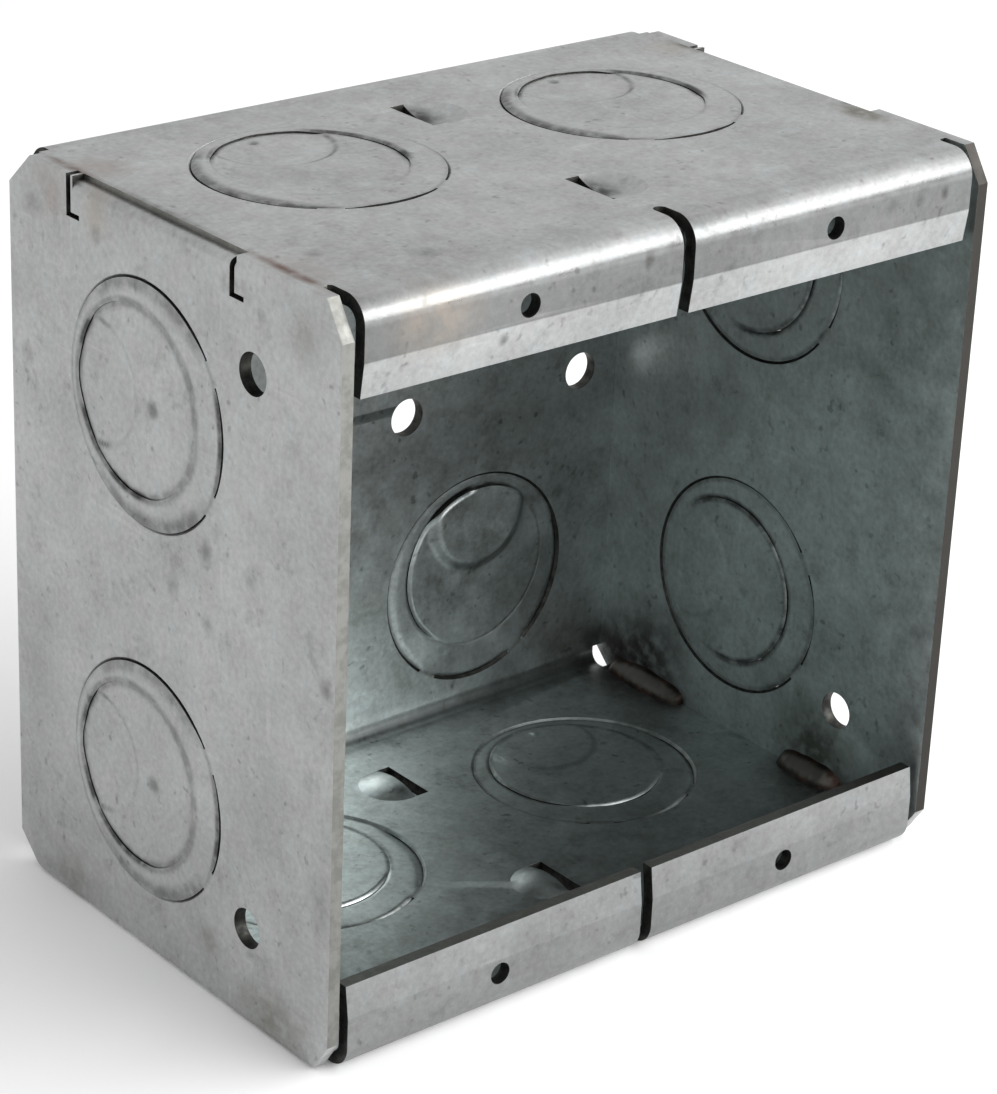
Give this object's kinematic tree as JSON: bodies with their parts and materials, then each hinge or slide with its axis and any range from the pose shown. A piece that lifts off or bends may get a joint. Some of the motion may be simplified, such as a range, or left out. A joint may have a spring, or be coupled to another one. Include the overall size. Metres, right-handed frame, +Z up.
{
  "type": "electrical masonry box",
  "caption": "Open-fronted two-gang wall box of galvanised sheet, with double knockouts on five sides and tapped flanges for devices.",
  "frame": {"origin": "under the middle of the box, on the plane that it stands on", "axes": "+X across the two gangs to the right as seen from the open front, -Y out of the open front, +Z up"},
  "size_m": [0.0968, 0.0636, 0.0937],
  "materials": {
    "wrap_sheet": "hot-dip galvanised, dull grey with fine spangle and scuffs",
    "plate_sheet": "hot-dip galvanised, dull grey with fine spangle and scuffs",
    "knockout_sheet": "hot-dip galvanised, dull grey, darker along the sheared edges",
    "weld_metal": "bare weld bead with brown heat tint"
  },
  "bodies": {
    "box": {"body_wrap": "wrap_sheet", "left_end_plate": "plate_sheet", "right_end_plate": "plate_sheet", "left_seam_welds": "weld_metal", "right_seam_welds": "weld_metal"},
    "left_upper_ring": {"left_upper_knockout_ring": "knockout_sheet"},
    "left_upper_disc": {"left_upper_knockout_disc": "knockout_sheet"},
    "left_lower_ring": {"left_lower_knockout_ring": "knockout_sheet"},
    "left_lower_disc": {"left_lower_knockout_disc": "knockout_sheet"},
    "top_left_ring": {"top_left_knockout_ring": "knockout_sheet"},
    "top_left_disc": {"top_left_knockout_disc": "knockout_sheet"},
    "bottom_left_ring": {"bottom_left_knockout_ring": "knockout_sheet"},
    "bottom_left_disc": {"bottom_left_knockout_disc": "knockout_sheet"},
    "back_left_ring": {"back_left_knockout_ring": "knockout_sheet"},
    "back_left_disc": {"back_left_knockout_disc": "knockout_sheet"},
    "right_upper_ring": {"right_upper_knockout_ring": "knockout_sheet"},
    "right_upper_disc": {"right_upper_knockout_disc": "knockout_sheet"},
    "right_lower_ring": {"right_lower_knockout_ring": "knockout_sheet"},
    "right_lower_disc": {"right_lower_knockout_disc": "knockout_sheet"},
    "top_right_ring": {"top_right_knockout_ring": "knockout_sheet"},
    "top_right_disc": {"top_right_knockout_disc": "knockout_sheet"},
    "bottom_right_ring": {"bottom_right_knockout_ring": "knockout_sheet"},
    "bottom_right_disc": {"bottom_right_knockout_disc": "knockout_sheet"},
    "back_right_ring": {"back_right_knockout_ring": "knockout_sheet"},
    "back_right_disc": {"back_right_knockout_disc": "knockout_sheet"}
  },
  "joints": [
    {"name": "left_upper_ring_bend", "type": "hinge", "parent": "box", "child": "left_upper_ring", "pos_m": [-0.04842, -0.00837, 0.07063], "axis": [0, 0, 1], "range_deg": [0, 70]},
    {"name": "left_upper_disc_bend", "type": "hinge", "parent": "left_upper_ring", "child": "left_upper_disc", "pos_m": [-0.04842, 0.01723, 0.07063], "axis": [0, 0, -1], "range_deg": [0, 70]},
    {"name": "left_lower_ring_bend", "type": "hinge", "parent": "box", "child": "left_lower_ring", "pos_m": [-0.04842, -0.00837, 0.02303], "axis": [0, 0, 1], "range_deg": [0, 70]},
    {"name": "left_lower_disc_bend", "type": "hinge", "parent": "left_lower_ring", "child": "left_lower_disc", "pos_m": [-0.04842, 0.01723, 0.02303], "axis": [0, 0, -1], "range_deg": [0, 70]},
    {"name": "top_left_ring_bend", "type": "hinge", "parent": "box", "child": "top_left_ring", "pos_m": [-0.02302, -0.00637, 0.09366], "axis": [1, 0, 0], "range_deg": [0, 70]},
    {"name": "top_left_disc_bend", "type": "hinge", "parent": "top_left_ring", "child": "top_left_disc", "pos_m": [-0.02302, 0.01923, 0.09366], "axis": [-1, 0, 0], "range_deg": [0, 70]},
    {"name": "bottom_left_ring_bend", "type": "hinge", "parent": "box", "child": "bottom_left_ring", "pos_m": [-0.02302, -0.00637, 0.0016], "axis": [1, 0, 0], "range_deg": [0, 70]},
    {"name": "bottom_left_disc_bend", "type": "hinge", "parent": "bottom_left_ring", "child": "bottom_left_disc", "pos_m": [-0.02302, 0.01923, 0.0016], "axis": [-1, 0, 0], "range_deg": [0, 70]},
    {"name": "back_left_ring_bend", "type": "hinge", "parent": "box", "child": "back_left_ring", "pos_m": [-0.02302, 0.03175, 0.00823], "axis": [-1, 0, 0], "range_deg": [0, 70]},
    {"name": "back_left_disc_bend", "type": "hinge", "parent": "back_left_ring", "child": "back_left_disc", "pos_m": [-0.02302, 0.03175, 0.03383], "axis": [1, 0, 0], "range_deg": [0, 70]},
    {"name": "right_upper_ring_bend", "type": "hinge", "parent": "box", "child": "right_upper_ring", "pos_m": [0.04842, -0.00837, 0.07063], "axis": [0, 0, -1], "range_deg": [0, 70]},
    {"name": "right_upper_disc_bend", "type": "hinge", "parent": "right_upper_ring", "child": "right_upper_disc", "pos_m": [0.04842, 0.01723, 0.07063], "axis": [0, 0, 1], "range_deg": [0, 70]},
    {"name": "right_lower_ring_bend", "type": "hinge", "parent": "box", "child": "right_lower_ring", "pos_m": [0.04842, -0.00837, 0.02303], "axis": [0, 0, -1], "range_deg": [0, 70]},
    {"name": "right_lower_disc_bend", "type": "hinge", "parent": "right_lower_ring", "child": "right_lower_disc", "pos_m": [0.04842, 0.01723, 0.02303], "axis": [0, 0, 1], "range_deg": [0, 70]},
    {"name": "top_right_ring_bend", "type": "hinge", "parent": "box", "child": "top_right_ring", "pos_m": [0.02302, -0.00637, 0.09366], "axis": [1, 0, 0], "range_deg": [0, 70]},
    {"name": "top_right_disc_bend", "type": "hinge", "parent": "top_right_ring", "child": "top_right_disc", "pos_m": [0.02302, 0.01923, 0.09366], "axis": [-1, 0, 0], "range_deg": [0, 70]},
    {"name": "bottom_right_ring_bend", "type": "hinge", "parent": "box", "child": "bottom_right_ring", "pos_m": [0.02302, -0.00637, 0.0016], "axis": [1, 0, 0], "range_deg": [0, 70]},
    {"name": "bottom_right_disc_bend", "type": "hinge", "parent": "bottom_right_ring", "child": "bottom_right_disc", "pos_m": [0.02302, 0.01923, 0.0016], "axis": [-1, 0, 0], "range_deg": [0, 70]},
    {"name": "back_right_ring_bend", "type": "hinge", "parent": "box", "child": "back_right_ring", "pos_m": [0.02302, 0.03175, 0.00823], "axis": [-1, 0, 0], "range_deg": [0, 70]},
    {"name": "back_right_disc_bend", "type": "hinge", "parent": "back_right_ring", "child": "back_right_disc", "pos_m": [0.02302, 0.03175, 0.03383], "axis": [1, 0, 0], "range_deg": [0, 70]}
  ]
}
